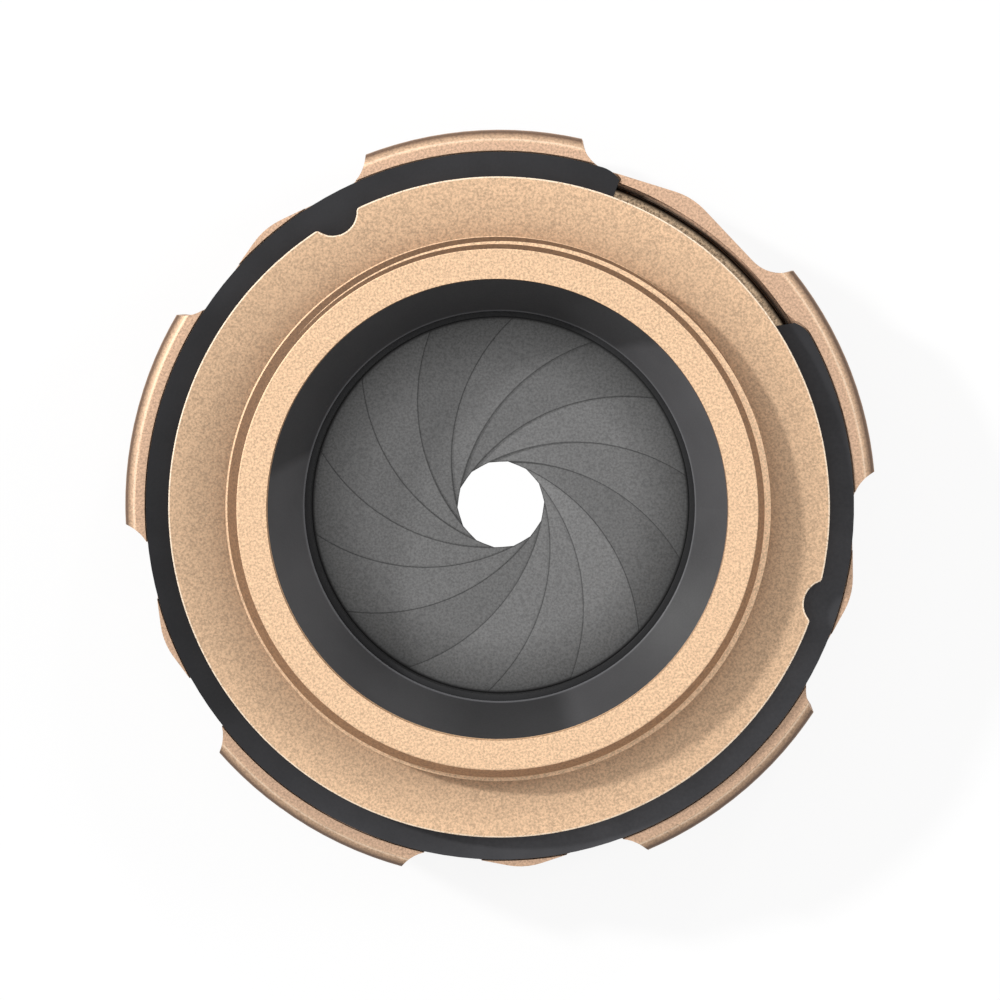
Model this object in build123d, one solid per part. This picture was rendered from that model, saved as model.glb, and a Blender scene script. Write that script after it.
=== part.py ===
from build123d import *
import math
import os

# Ring-actuated iris diaphragm, in millimetres.
# The optical axis is Z, the front is +Z, and the origin is the middle of the rear face.
# The rest position is a nearly closed iris. Angles are in degrees, counter-clockwise seen from the front.

# ---------------------------------------------------------------- driving sizes

# leaves and aperture
leaf_count = 14
leaf_edge_radius = 13.1        # concave inner edge of a leaf
leaf_width = 5.0
leaf_thickness = 0.05
leaf_gap = 0.03                # free height between two leaves that cross
closed_aperture_radius = 1.0   # smallest stop
rest_aperture_radius = 2.86    # stop at rest
drive_inset = 1.4              # how far inside the pivot circle a drive stud passes
stud_radius = 0.4
drive_end_radius = 1.3         # rounded end of a leaf round its drive stud
drive_end_lead = 7.9           # degrees of taper before the drive end
taper_start_angle = -20.0      # where the leaf's back starts to taper, from the aperture
first_pivot_angle = 23.0       # pivot of leaf 1

# running clearances
running_gap = 0.05             # radial, between turned fits
stud_gap = 0.03                # radial, pivot stud in its hole
slot_gap = 0.05                # each side of a drive stud in its cam slot
face_gap = 0.08                # axial, beside the leaf stack and the cam ring
seat_gap = 0.05                # axial, beside the grip ring and the washer
thread_gap = 0.05              # radial, between threaded pieces
screw_gap = 0.03               # radial, drive screw in its holes
screw_slot_gap = 0.1           # each side of a drive screw in the barrel's slot
pocket_gap = 0.1               # round the friction washer in its pocket
leaf_end_clearance = 1.0       # radial, from the leaves' reach to the chamber wall

# cam ring, pivot plate and rear retaining ring
cam_thickness = 1.2
cam_bore_step = 0.35           # the cam ring shows this much inside the cone's lip
plate_thickness = 0.8
plate_bore_step = 0.25
plate_seat_width = 0.8
retaining_ring_thickness = 1.2
retaining_ring_width = 3.8
spanner_slot_width = 1.6
spanner_slot_depth = 0.7

# housing
register_step = 0.25           # rear register wider than the retaining ring's thread
rear_register_depth = 2.8
barrel_wall = 1.44
barrel_edge_chamfer = 0.15
rear_rim_height = 0.66
rear_rim_thickness = 2.0
rear_rim_chamfer = 0.2
front_wall_thickness = 0.8
neck_wall = 0.7

# grip ring
lobe_count = 5
lobe_height = 1.61             # above the valley flats
lobe_half_angle = 16.7
lobe_angle = 22.1              # middle of the first lobe
valley_wall = 0.8              # ring wall at the valley flats
valley_tilt = 14.6             # the two flats of a valley lean this far from its middle
bump_radius = 4.6              # rounding where the two flats meet
flank_radius = 2.5
lobe_rounding = 1.13
lobe_crown = 0.055             # the front is faced off this far below the rounding's top
land_step = 0.35               # relief round the barrel's front edge
land_relief_depth = 0.9        # below the barrel's shoulder
pocket_depth = 0.45

# friction washer, an open ring
washer_overhang = 0.11         # beyond the valley flats
washer_thickness = 0.55
washer_start_angle = 69.8
washer_end_angle = 397.5
washer_end_slant = 5.5         # the last end is cut at a slant
washer_corner_sweep = 3.2      # part of each end where the outside curves in
washer_corner_drop = 0.45
washer_bore_gap = 0.25         # round the cap's hub

# front cap
cap_hub_wall = 0.4             # hub outside the collar's thread
flange_inset = 0.69            # flange inside the barrel's radius
flange_thickness = 1.4
flange_edge_chamfer = 0.1
collar_height = 2.6
collar_wall = 0.7              # collar outside the neck, at the front face
collar_thread_lead = 0.85      # chamfer up to the crest of the M36 x 0.75 thread
collar_web_thickness = 0.7
collar_edge_chamfer = 0.1
notch_angles = (119.2, 343.8)
notch_radii = (1.6, 1.6)
notch_depths = (1.05, 0.8)
notch_rounding = 0.32

# baffle cone
cone_lip_inset = 0.1           # lip inside the open leaves' edge
cone_flare = 2.1
cone_lip_above_cam = 0.5
cone_lip_land = 0.15
cone_wall = 0.45
cone_rim_thickness = 0.5
cone_neck_clearance = 0.15

# drive screws that join the grip ring to the cam ring through the barrel
screw_radius = 0.5
screw_engagement = 1.1         # length in the cam ring
screw_head_radius = 0.95
screw_head_height = 0.9
screw_head_seat = 0.5          # seat of the head outside the barrel
screwdriver_slot_width = 0.3
screwdriver_slot_depth = 0.35

# ---------------------------------------------------------------- worked out: motion


def leaf_swing(aperture_radius):
    """Turn of a leaf about its pivot, from fully open to this aperture, in degrees."""
    return 2 * math.degrees(math.asin((leaf_edge_radius - aperture_radius) / (2 * pivot_radius)))


def polar(radius, angle, height=0.0):
    return Vector(
        radius * math.cos(math.radians(angle)),
        radius * math.sin(math.radians(angle)),
        height,
    )


leaf_outer_radius = leaf_edge_radius + leaf_width
pivot_radius = leaf_edge_radius + leaf_width / 2
drive_closest_radius = pivot_radius - drive_inset
stud_spacing = pivot_radius + drive_closest_radius
open_lead = math.degrees(math.acos(stud_spacing / (2 * pivot_radius)))
stud_sweep = 180 - 2 * open_lead
full_swing = leaf_swing(closed_aperture_radius)
rest_swing = leaf_swing(rest_aperture_radius)
ring_ratio = 2.0               # the ring turns twice as far as a leaf
ring_to_open = ring_ratio * rest_swing
ring_to_close = ring_ratio * (full_swing - rest_swing)

# in a leaf's own frame its edge is centred on the origin, and angle 0 is where it
# touches the smallest aperture
pivot_leaf_angle = 90 - full_swing / 2
drive_leaf_angle = pivot_leaf_angle - stud_sweep
edge_end_angle = drive_leaf_angle + drive_end_lead

# a leaf rises from its pivot end to its drive end, steepest at the aperture,
# so that every leaf passes over the next one all the way round
rise_spread = 2 * closed_aperture_radius
rise_rate = (leaf_thickness + leaf_gap) * leaf_count / math.tau * rise_spread / closed_aperture_radius


def leaf_rise(angle):
    return -rise_rate * math.asinh(leaf_edge_radius * math.radians(angle) / rise_spread)


lowest_leaf_angle = pivot_leaf_angle + math.degrees(leaf_width / 2 / pivot_radius)
highest_leaf_angle = drive_leaf_angle - math.degrees(drive_end_radius / pivot_radius)

# ---------------------------------------------------------------- worked out: radii

drive_farthest_radius = (polar(pivot_radius, 0) - polar(stud_spacing, open_lead - full_swing)).length
chamber_radius = drive_farthest_radius + drive_end_radius + leaf_end_clearance
plate_radius = chamber_radius + plate_seat_width
rear_register_radius = plate_radius + thread_gap + register_step
barrel_radius = rear_register_radius + barrel_wall
rear_rim_radius = barrel_radius + rear_rim_height
retaining_ring_bore_radius = plate_radius - retaining_ring_width
cone_lip_radius = leaf_edge_radius - cone_lip_inset
cam_bore_radius = cone_lip_radius - cam_bore_step
plate_bore_radius = cone_lip_radius - plate_bore_step
collar_bore_radius = cone_lip_radius + cone_flare
neck_bore_radius = collar_bore_radius + cone_wall + cone_neck_clearance
neck_radius = neck_bore_radius + neck_wall
cap_bore_radius = neck_radius + thread_gap
collar_face_radius = cap_bore_radius + collar_wall
collar_thread_radius = collar_face_radius + collar_thread_lead
cap_hub_radius = collar_thread_radius + cap_hub_wall
flange_radius = barrel_radius - flange_inset
valley_radius = barrel_radius + running_gap + valley_wall
lobe_radius = valley_radius + lobe_height
land_bore_radius = barrel_radius + land_step
washer_radius = valley_radius + washer_overhang
washer_bore_radius = cap_hub_radius + washer_bore_gap
screw_tip_radius = chamber_radius - screw_engagement
screw_seat_radius = barrel_radius + screw_head_seat
screw_head_outer_radius = screw_seat_radius + screw_head_height

# ---------------------------------------------------------------- worked out: levels

plate_rear = rear_register_depth + retaining_ring_thickness
plate_front = plate_rear + plate_thickness
leaf_level = plate_front + face_gap - leaf_rise(lowest_leaf_angle)
cam_rear = leaf_level + leaf_rise(highest_leaf_angle) + leaf_thickness + face_gap
cam_front = cam_rear + cam_thickness
chamber_front = cam_front + face_gap
shoulder_level = chamber_front + front_wall_thickness
washer_rear = shoulder_level + seat_gap
washer_front = washer_rear + washer_thickness
flange_rear = washer_front + seat_gap
flange_front = flange_rear + flange_thickness
collar_front = flange_front + collar_height
cone_front = collar_front - collar_web_thickness
neck_front = cone_front - cone_rim_thickness
cone_lip_level = cam_front + cone_lip_above_cam
grip_rear = rear_rim_thickness + seat_gap
grip_front = shoulder_level + pocket_depth
screw_level = (cam_rear + cam_front) / 2
screw_angles = (lobe_angle, lobe_angle + 180)

# ---------------------------------------------------------------- helpers


def turned(points):
    """A solid of revolution about Z from (radius, height) points."""
    profile = make_face(Polyline([(r, 0, z) for r, z in points], close=True))
    return revolve(profile, Axis.Z)


def disc(radius, rear, front):
    return Pos(0, 0, rear) * Cylinder(radius, front - rear, align=(Align.CENTER, Align.CENTER, Align.MIN))


def radial_pin(radius, inner, outer, angle, height):
    """A round bar along a radius of the optical axis."""
    bar = Cylinder(radius, outer - inner, align=(Align.CENTER, Align.CENTER, Align.MIN))
    return Rot(0, 0, angle) * Pos(inner, 0, height) * Rot(0, 90, 0) * bar


def spread_round(count, piece_at):
    return [piece_at(index) for index in range(count)]


# ---------------------------------------------------------------- front cap


def flange_outline():
    outline = Circle(flange_radius)
    for angle, radius, depth in zip(notch_angles, notch_radii, notch_depths):
        centre = polar(flange_radius - depth + radius, angle)
        outline -= Pos(centre) * Circle(radius)
    corners = [v for v in outline.vertices() if Vector(v.X, v.Y).length > flange_radius - 0.01]
    corners = [v for v in corners if min(abs(angle_gap(v, a)) for a in notch_angles) < 10]
    return fillet(corners, notch_rounding)


def angle_gap(vertex, angle):
    """Signed turn in degrees from an angle to a vertex."""
    return (math.degrees(math.atan2(vertex.Y, vertex.X)) - angle + 180) % 360 - 180


def make_front_cap():
    flange = Pos(0, 0, flange_rear) * extrude(flange_outline(), flange_thickness)
    rim = flange.faces().sort_by(Axis.Z)[-1].outer_wire().edges()
    flange = chamfer(rim, flange_edge_chamfer)
    hub = turned([
        (cap_bore_radius, shoulder_level),
        (cap_hub_radius, shoulder_level),
        (cap_hub_radius, flange_front - flange_thickness / 2),
        (collar_thread_radius, flange_front - flange_thickness / 2),
        (collar_thread_radius, collar_front - collar_thread_lead),
        (collar_face_radius, collar_front),
        (collar_bore_radius + collar_edge_chamfer, collar_front),
        (collar_bore_radius, collar_front - collar_edge_chamfer),
        (collar_bore_radius, cone_front),
        (cap_bore_radius, cone_front),
    ])
    return flange - disc(cap_bore_radius, flange_rear, cone_front) + hub


# ---------------------------------------------------------------- baffle cone


def make_baffle_cone():
    return turned([
        (collar_bore_radius, cone_front),
        (cone_lip_radius, cone_lip_level + cone_lip_land),
        (cone_lip_radius, cone_lip_level),
        (cone_lip_radius + cone_wall, cone_lip_level),
        (collar_bore_radius + cone_wall, neck_front),
        (neck_radius, neck_front),
        (neck_radius, cone_front),
    ])


# ---------------------------------------------------------------- housing


def drive_slot(angle):
    """The arc slot in the barrel wall that one drive screw travels in."""
    half = screw_radius + screw_slot_gap
    start = angle - ring_to_close
    sweep = ring_to_close + ring_to_open
    inner = chamber_radius - running_gap
    outer = barrel_radius + running_gap
    section = Pos((inner + outer) / 2, 0, screw_level) * Rot(90, 0, 0) * Rectangle(outer - inner, 2 * half)
    track = Rot(0, 0, start) * revolve(section, Axis.Z, sweep)
    ends = [radial_pin(half, inner, outer, end, screw_level) for end in (start, start + sweep)]
    return track + ends


def make_housing():
    body = turned([
        (rear_register_radius, 0),
        (rear_rim_radius - rear_rim_chamfer, 0),
        (rear_rim_radius, rear_rim_chamfer),
        (rear_rim_radius, rear_rim_thickness - rear_rim_chamfer),
        (rear_rim_radius - rear_rim_chamfer, rear_rim_thickness),
        (barrel_radius, rear_rim_thickness),
        (barrel_radius, shoulder_level - barrel_edge_chamfer),
        (barrel_radius - barrel_edge_chamfer, shoulder_level),
        (neck_radius, shoulder_level),
        (neck_radius, neck_front),
        (neck_bore_radius, neck_front),
        (neck_bore_radius, chamber_front),
        (chamber_radius, chamber_front),
        (chamber_radius, plate_front),
        (plate_radius + thread_gap, plate_front),
        (plate_radius + thread_gap, rear_register_depth),
        (rear_register_radius, rear_register_depth),
    ])
    for angle in screw_angles:
        body -= drive_slot(angle)
    return body


# ---------------------------------------------------------------- grip ring


def valley_side(lobe_middle, side):
    """Corner, flank middle, flank foot and bump start of one valley flat, on one side of a lobe."""
    foot = lobe_middle + side * (180 / lobe_count - valley_tilt)
    normal = polar(1, foot)
    along = polar(1, foot + side * 90)
    corner = polar(lobe_radius, lobe_middle + side * lobe_half_angle)
    rise = corner.dot(normal) - valley_radius - flank_radius
    reach = corner.dot(along) + math.sqrt(flank_radius ** 2 - rise ** 2)
    centre = normal * (valley_radius + flank_radius) + along * reach
    flank_foot = normal * valley_radius + along * reach
    middle = centre + ((corner - centre) + (flank_foot - centre)).normalized() * flank_radius
    bump_start = normal * valley_radius + along * (valley_radius - bump_radius) * math.tan(math.radians(valley_tilt))
    return corner, middle, flank_foot, bump_start


def ring_outline():
    edges = []
    bump_crest = (valley_radius - bump_radius) / math.cos(math.radians(valley_tilt)) + bump_radius
    pitch = 360 / lobe_count
    for index in range(lobe_count):
        middle_angle = lobe_angle + index * pitch
        last_corner = valley_side(middle_angle, -1)[0]
        corner, flank, foot, bump_start = valley_side(middle_angle, 1)
        next_corner, next_flank, next_foot, bump_end = valley_side(middle_angle + pitch, -1)
        edges += [
            ThreePointArc(last_corner, polar(lobe_radius, middle_angle), corner),
            ThreePointArc(corner, flank, foot),
            Line(foot, bump_start),
            ThreePointArc(bump_start, polar(bump_crest, middle_angle + pitch / 2), bump_end),
            Line(bump_end, next_foot),
            ThreePointArc(next_foot, next_flank, next_corner),
        ]
    return make_face(edges)


def open_ring_outline(inner, outer, start, end):
    """An open flat ring whose outside curves in at both ends, the last of them cut at a slant."""
    middle = (start + end) / 2
    inner_start = polar(inner, start)
    inner_end = polar(inner, end)
    outer_start = polar(outer - washer_corner_drop, start)
    outer_end = polar(outer - washer_corner_drop, end - washer_end_slant)
    curve_start_angle = start + washer_corner_sweep
    curve_end_angle = end - washer_end_slant - washer_corner_sweep
    curve_start = polar(outer, curve_start_angle)
    curve_end = polar(outer, curve_end_angle)
    return make_face([
        ThreePointArc(inner_start, polar(inner, middle), inner_end),
        Line(inner_end, outer_end),
        TangentArc(curve_end, outer_end, tangent=polar(1, curve_end_angle + 90)),
        ThreePointArc(curve_end, polar(outer, middle), curve_start),
        TangentArc(curve_start, outer_start, tangent=polar(1, curve_start_angle - 90)),
        Line(outer_start, inner_start),
    ])


def rounded_drum():
    """The turned blank: both outer corners are rounded, then the faces are cut just below the rounding."""
    blank = disc(lobe_radius, grip_rear - lobe_crown, grip_front + lobe_crown)
    blank = fillet(blank.edges().filter_by(GeomType.CIRCLE), lobe_rounding)
    return blank & disc(lobe_radius, grip_rear, grip_front)


def make_grip_ring():
    height = grip_front - grip_rear
    ring = rounded_drum() & (Pos(0, 0, grip_rear) * extrude(ring_outline(), height))
    ring -= disc(barrel_radius + running_gap, grip_rear, grip_front)
    ring -= disc(land_bore_radius, shoulder_level - land_relief_depth, grip_front)
    end_gap = math.degrees(pocket_gap / washer_radius)
    pocket = open_ring_outline(
        barrel_radius, washer_radius + pocket_gap, washer_start_angle - end_gap, washer_end_angle + end_gap)
    ring -= Pos(0, 0, shoulder_level) * extrude(pocket, 2 * pocket_depth)
    for angle in screw_angles:
        ring -= radial_pin(screw_radius + screw_gap, barrel_radius, screw_seat_radius, angle, screw_level)
        ring -= radial_pin(screw_head_radius + screw_gap, screw_seat_radius, lobe_radius + lobe_rounding, angle, screw_level)
    return ring


def make_friction_washer():
    outline = open_ring_outline(washer_bore_radius, washer_radius, washer_start_angle, washer_end_angle)
    return Pos(0, 0, washer_rear) * extrude(outline, washer_thickness)


def make_drive_screw(angle):
    shank = radial_pin(screw_radius, screw_tip_radius, screw_seat_radius, angle, screw_level)
    head = radial_pin(screw_head_radius, screw_seat_radius, screw_head_outer_radius, angle, screw_level)
    blade_cut = Box(2 * screwdriver_slot_depth, 3 * screw_head_radius, screwdriver_slot_width)
    slot = Rot(0, 0, angle) * Pos(screw_head_outer_radius, 0, screw_level) * blade_cut
    return shank + head - slot


# ---------------------------------------------------------------- leaves


def drive_stud_track(swing):
    """Place of a drive stud in the cam ring's frame, for a leaf with its pivot at angle 0.

    The frame is the cam ring's at fully open, and swing is the leaf's turn towards closed."""
    pivot = polar(pivot_radius, 0)
    arm = (polar(pivot_radius, -stud_sweep) - pivot).rotate(Axis.Z, -swing)
    return (pivot + arm).rotate(Axis.Z, ring_ratio * swing)


def slot_wander():
    """How far a drive stud strays sideways from the straight part of its slot."""
    straight = polar(1, 90 - stud_sweep)
    steps = [2 * open_lead * step / 20 for step in range(21)]
    return max(abs(drive_stud_track(swing).dot(straight)) for swing in steps)


def cam_slot():
    """One cam slot, for the pivot at angle 0, with the ring at fully open."""
    half_width = stud_radius + slot_wander() + slot_gap
    inner_end = polar(drive_closest_radius, -stud_sweep)
    straight_end = drive_stud_track(2 * open_lead)
    middle = drive_stud_track((2 * open_lead + full_swing) / 2)
    outer_end = drive_stud_track(full_swing)
    straight = Line(inner_end, straight_end)
    hook = ThreePointArc(straight_end, middle, outer_end)
    path = Wire([straight, hook])
    return make_face(path.offset_2d(half_width, side=Side.BOTH))


def make_cam_ring():
    ring = disc(chamber_radius - running_gap, cam_rear, cam_front) - disc(cam_bore_radius, cam_rear, cam_front)
    slot = Pos(0, 0, cam_rear) * extrude(cam_slot(), cam_thickness)
    pitch = 360 / leaf_count
    turn = first_pivot_angle - ring_ratio * rest_swing
    ring -= spread_round(leaf_count, lambda index: Rot(0, 0, turn + index * pitch) * slot)
    for angle in screw_angles:
        ring -= radial_pin(screw_radius + screw_gap, screw_tip_radius - screw_gap, chamber_radius, angle, screw_level)
    return ring


def make_pivot_plate():
    plate = disc(plate_radius, plate_rear, plate_front) - disc(plate_bore_radius, plate_rear, plate_front)
    pitch = 360 / leaf_count
    for index in range(leaf_count):
        place = polar(pivot_radius, first_pivot_angle + index * pitch)
        plate -= Pos(place) * disc(stud_radius + stud_gap, plate_rear, plate_front)
    return plate


def leaf_outline():
    """The leaf's plan in its own frame: a crescent with a round pivot end and a tapered drive end."""
    pivot = polar(pivot_radius, pivot_leaf_angle)
    drive = polar(pivot_radius, drive_leaf_angle)
    end_radius = leaf_width / 2
    edge_start = polar(leaf_edge_radius, edge_end_angle)
    edge_end = polar(leaf_edge_radius, pivot_leaf_angle)
    edge_middle = polar(leaf_edge_radius, (edge_end_angle + pivot_leaf_angle) / 2)
    back_start = polar(leaf_outer_radius, pivot_leaf_angle)
    back_end = polar(leaf_outer_radius, taper_start_angle)
    back_middle = polar(leaf_outer_radius, (pivot_leaf_angle + taper_start_angle) / 2)
    cap_start = drive + polar(drive_end_radius, drive_leaf_angle)
    cap_far = drive + polar(drive_end_radius, drive_leaf_angle - 90)
    towards_edge = edge_start - drive
    bearing = math.degrees(math.atan2(towards_edge.Y, towards_edge.X))
    lean = math.degrees(math.acos(drive_end_radius / towards_edge.length))
    cap_end = drive + polar(drive_end_radius, bearing - lean)
    return make_face([
        ThreePointArc(edge_start, edge_middle, edge_end),
        ThreePointArc(edge_end, pivot + polar(end_radius, pivot_leaf_angle + 90), back_start),
        ThreePointArc(back_start, back_middle, back_end),
        TangentArc(back_end, cap_start, tangent=polar(1, taper_start_angle - 90)),
        ThreePointArc(cap_start, cap_far, cap_end),
        Line(cap_end, edge_start),
    ])


def leaf_rail(radius):
    """The leaf's rise followed at one radius."""
    margin = math.degrees(stud_radius / pivot_radius)
    first = highest_leaf_angle - margin
    last = lowest_leaf_angle + margin
    steps = 16
    angles = [first + (last - first) * step / steps for step in range(steps + 1)]
    return Spline([polar(radius, angle, leaf_rise(angle)) for angle in angles])


def leaf_blank():
    """A leaf in its own frame, with its two stud holes."""
    surface = Face.make_surface_from_curves(leaf_rail(leaf_edge_radius - stud_radius), leaf_rail(leaf_outer_radius + stud_radius))
    sheet = extrude(surface, leaf_thickness, dir=(0, 0, 1))
    plan = Pos(0, 0, -leaf_width) * extrude(leaf_outline(), 2 * leaf_width)
    leaf = sheet & plan
    for angle in (pivot_leaf_angle, drive_leaf_angle):
        leaf -= Pos(polar(pivot_radius, angle)) * disc(stud_radius, -leaf_width, leaf_width)
    return leaf


def leaf_studs():
    """The pivot stud to the rear and the drive stud to the front, in the leaf's own frame."""
    pivot_foot = plate_rear + face_gap - leaf_level
    drive_top = cam_front - face_gap - leaf_level
    pivot_stud = disc(stud_radius, pivot_foot, leaf_rise(pivot_leaf_angle) + leaf_thickness)
    drive_stud = disc(stud_radius, leaf_rise(drive_leaf_angle), drive_top)
    return [
        Pos(polar(pivot_radius, pivot_leaf_angle)) * pivot_stud,
        Pos(polar(pivot_radius, drive_leaf_angle)) * drive_stud,
    ]


def at_rest(shape, index):
    """A shape from the leaf's own frame, set on its pivot and swung to rest."""
    pivot_angle = first_pivot_angle + index * 360 / leaf_count
    pivot_in_leaf = polar(pivot_radius, pivot_leaf_angle)
    turn = pivot_angle - pivot_leaf_angle - rest_swing
    pivot = polar(pivot_radius, pivot_angle, leaf_level)
    return Pos(pivot) * Rot(0, 0, turn) * Pos(-pivot_in_leaf) * shape


# ---------------------------------------------------------------- rear retaining ring


def make_retaining_ring():
    ring = disc(plate_radius, rear_register_depth, plate_rear)
    ring -= disc(retaining_ring_bore_radius, rear_register_depth, plate_rear)
    slot = Box(2 * plate_radius + 2, spanner_slot_width, 2 * spanner_slot_depth)
    return ring - Pos(0, 0, rear_register_depth) * slot


# ---------------------------------------------------------------- files


def write(name, *solids):
    shape = solids[0] if len(solids) == 1 else Compound(children=list(solids))
    export_step(shape, f"parts/{name}.step")


os.makedirs("parts", exist_ok=True)
write("front_cap", make_front_cap())
write("baffle_cone", make_baffle_cone())
write("housing_barrel", make_housing())
write("grip_ring", make_grip_ring())
write("friction_washer", make_friction_washer())
write("drive_screws", *[make_drive_screw(angle) for angle in screw_angles])
write("cam_ring", make_cam_ring())
write("pivot_plate", make_pivot_plate())
write("retaining_ring", make_retaining_ring())
leaf = leaf_blank()
for number in range(leaf_count):
    write(f"leaf_{number + 1:02d}", at_rest(leaf, number))
    write(f"leaf_studs_{number + 1:02d}", *[at_rest(stud, number) for stud in leaf_studs()])
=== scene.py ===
# %% [markdown]
# # A ring-actuated iris diaphragm, dressed for the studio
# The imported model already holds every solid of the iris, in metres: the barrel, the lobed grip
# ring, the friction washer, the plain cap, the black cone and fourteen thin leaves. This lesson
# gives each of them the finish that it has on the workbench, and it turns the cap once more,
# with the screw thread that the plain one lacks.

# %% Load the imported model
import math

import bpy
from mathutils import Matrix, Vector


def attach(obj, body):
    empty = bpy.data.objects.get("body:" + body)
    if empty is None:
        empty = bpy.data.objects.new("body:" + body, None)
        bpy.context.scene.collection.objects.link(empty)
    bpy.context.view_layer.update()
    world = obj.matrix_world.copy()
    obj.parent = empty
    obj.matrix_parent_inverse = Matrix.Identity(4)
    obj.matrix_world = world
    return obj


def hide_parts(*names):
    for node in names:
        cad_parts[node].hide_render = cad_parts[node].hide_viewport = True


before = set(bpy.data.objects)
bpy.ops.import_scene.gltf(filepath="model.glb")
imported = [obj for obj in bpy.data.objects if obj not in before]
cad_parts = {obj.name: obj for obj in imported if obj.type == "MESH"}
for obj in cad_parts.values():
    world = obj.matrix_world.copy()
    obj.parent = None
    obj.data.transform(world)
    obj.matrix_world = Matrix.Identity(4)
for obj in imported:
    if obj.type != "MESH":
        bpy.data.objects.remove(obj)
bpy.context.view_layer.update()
print("nodes loaded:", len(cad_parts))

# %% [markdown]
# ## Camera
# A small mechanical part is best drawn from straight above, with a long lens, so that circles
# stay circles. Here the camera leans three degrees to the upper right, which lets the eye see
# a little of the far walls and gives the stack of rings some depth. The width of the picture is
# measured at the level of the lobes.

# %% Place the camera
mm = 0.001
picture_width = 66.5 * mm
camera_distance = 300 * mm
lobe_plane = 9.0 * mm
camera_lean = math.radians(3.4)
camera_bearing = math.radians(55)
target = Vector((0.044 * mm, 0.434 * mm, lobe_plane))
away = Vector((
    math.sin(camera_lean) * math.cos(camera_bearing),
    math.sin(camera_lean) * math.sin(camera_bearing),
    math.cos(camera_lean),
))
bpy.ops.object.camera_add(location=target + away * camera_distance)
camera = bpy.context.object
camera.name = "camera"
camera.data.sensor_width = 36
camera.data.lens = 36 * camera_distance / picture_width
camera.data.clip_start = 0.01
right = Vector((0, 1, 0)).cross(away).normalized()
facing = Matrix((right, away.cross(right), away)).transposed()
camera.rotation_euler = facing.to_euler()
bpy.context.scene.camera = camera
bpy.context.scene.view_settings.view_transform = "Standard"
print("lens", round(camera.data.lens, 1), "mm")

# %% [markdown]
# ## Node helpers
# Materials are drawn as little graphs of nodes. A few helpers keep the graphs short to write.
# The first ones add a node with its settings, join an output to an input, and feed an input
# with whatever is at hand: a number, a colour or the output of another node.

# %% Helpers: nodes and links
def add_node(tree, kind, values=None, **settings):
    made = tree.nodes.new(kind)
    for name, value in settings.items():
        setattr(made, name, value)
    for socket, value in (values or {}).items():
        made.inputs[socket].default_value = value
    return made


def join(tree, source, target_node, target_socket):
    tree.links.new(source, target_node.inputs[target_socket])


def feed(tree, socket, value):
    if isinstance(value, (int, float)):
        socket.default_value = value
    elif isinstance(value, tuple):
        socket.default_value = (*value, 1)
    else:
        tree.links.new(value, socket)


print("node helpers ready")

# %% [markdown]
# The next ones write a sum, a fade or a mix of colours in one line. A fade is the tool for every
# border on a piece: it turns a radius or a height into a mask that goes from 0 to 1. A border is
# named by two values in millimetres: where its mask is still 0, and where it is full.

# %% Helpers: sums, fades and colours
def math_node(tree, operation, first, second=None, third=None, clamp=False):
    made = add_node(tree, "ShaderNodeMath", operation=operation, use_clamp=clamp)
    for index, value in enumerate((first, second, third)):
        if value is not None:
            feed(tree, made.inputs[index], value)
    return made.outputs[0]


def fade(tree, value, here, there, low=0.0, high=1.0):
    """low on one side, high on the other, and a straight fade from here to there."""
    made = add_node(tree, "ShaderNodeMapRange")
    names = ("Value", "From Min", "From Max", "To Min", "To Max")
    for name, given in zip(names, (value, here, there, low, high)):
        feed(tree, made.inputs[name], given)
    return made.outputs[0]


def mix_colour(tree, factor, first, second, blend="MIX"):
    made = add_node(tree, "ShaderNodeMix", data_type="RGBA", blend_type=blend)
    for index, value in ((0, factor), (6, first), (7, second)):
        feed(tree, made.inputs[index], value)
    return made.outputs[2]


def shade_colour(tree, colour, shade, mask=1.0):
    """Multiplies a colour by a shade, where the mask allows it."""
    return mix_colour(tree, mask, colour, shade, "MULTIPLY")


print("sums, fades and colours ready")

# %% [markdown]
# A group is a graph that is built once and placed in many materials, each time with its own
# values. Two helpers make and place groups. The others split a place into its three parts,
# start a material, and give it a bump.

# %% Helpers: groups and materials
def new_group(name, inputs, outputs):
    group = bpy.data.node_groups.new(name, "ShaderNodeTree")
    for socket, value in inputs.items():
        made = group.interface.new_socket(socket, in_out="INPUT", socket_type="NodeSocketFloat")
        made.default_value = value
    for socket in outputs:
        group.interface.new_socket(socket, in_out="OUTPUT", socket_type="NodeSocketFloat")
    return group, group.nodes.new("NodeGroupInput"), group.nodes.new("NodeGroupOutput")


def use_group(tree, group, **values):
    made = add_node(tree, "ShaderNodeGroup", node_tree=group)
    for name, value in values.items():
        feed(tree, made.inputs[name.replace("_", " ")], value)
    return made


def split_place(tree, source="Object"):
    coordinates = add_node(tree, "ShaderNodeTexCoord")
    parts = add_node(tree, "ShaderNodeSeparateXYZ")
    join(tree, coordinates.outputs[source], parts, 0)
    return tuple(parts.outputs)


def new_material(name, metallic, roughness, colour):
    material = bpy.data.materials.new(name)
    material.use_nodes = True
    tree = material.node_tree
    shader = tree.nodes["Principled BSDF"]
    shader.inputs["Metallic"].default_value = metallic
    shader.inputs["Roughness"].default_value = roughness
    shader.inputs["Base Color"].default_value = (*colour, 1)
    material.diffuse_color = (*colour, 1)
    return material, tree, shader


def add_bump(tree, shader, height, strength, depth):
    bump = add_node(tree, "ShaderNodeBump", {"Strength": strength, "Distance": depth * mm})
    join(tree, height, bump, "Height")
    join(tree, bump.outputs[0], shader, "Normal")


print("groups and materials ready")

# %% [markdown]
# ## Turned places
# Everything here was made on a lathe, so most marks follow the distance from the optical axis.
# One group works out that distance, the bearing and the height in millimetres, for every
# material that needs to know where on the turned piece it is. A second group measures the
# distance from any other centre, such as that of a notch.

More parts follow.
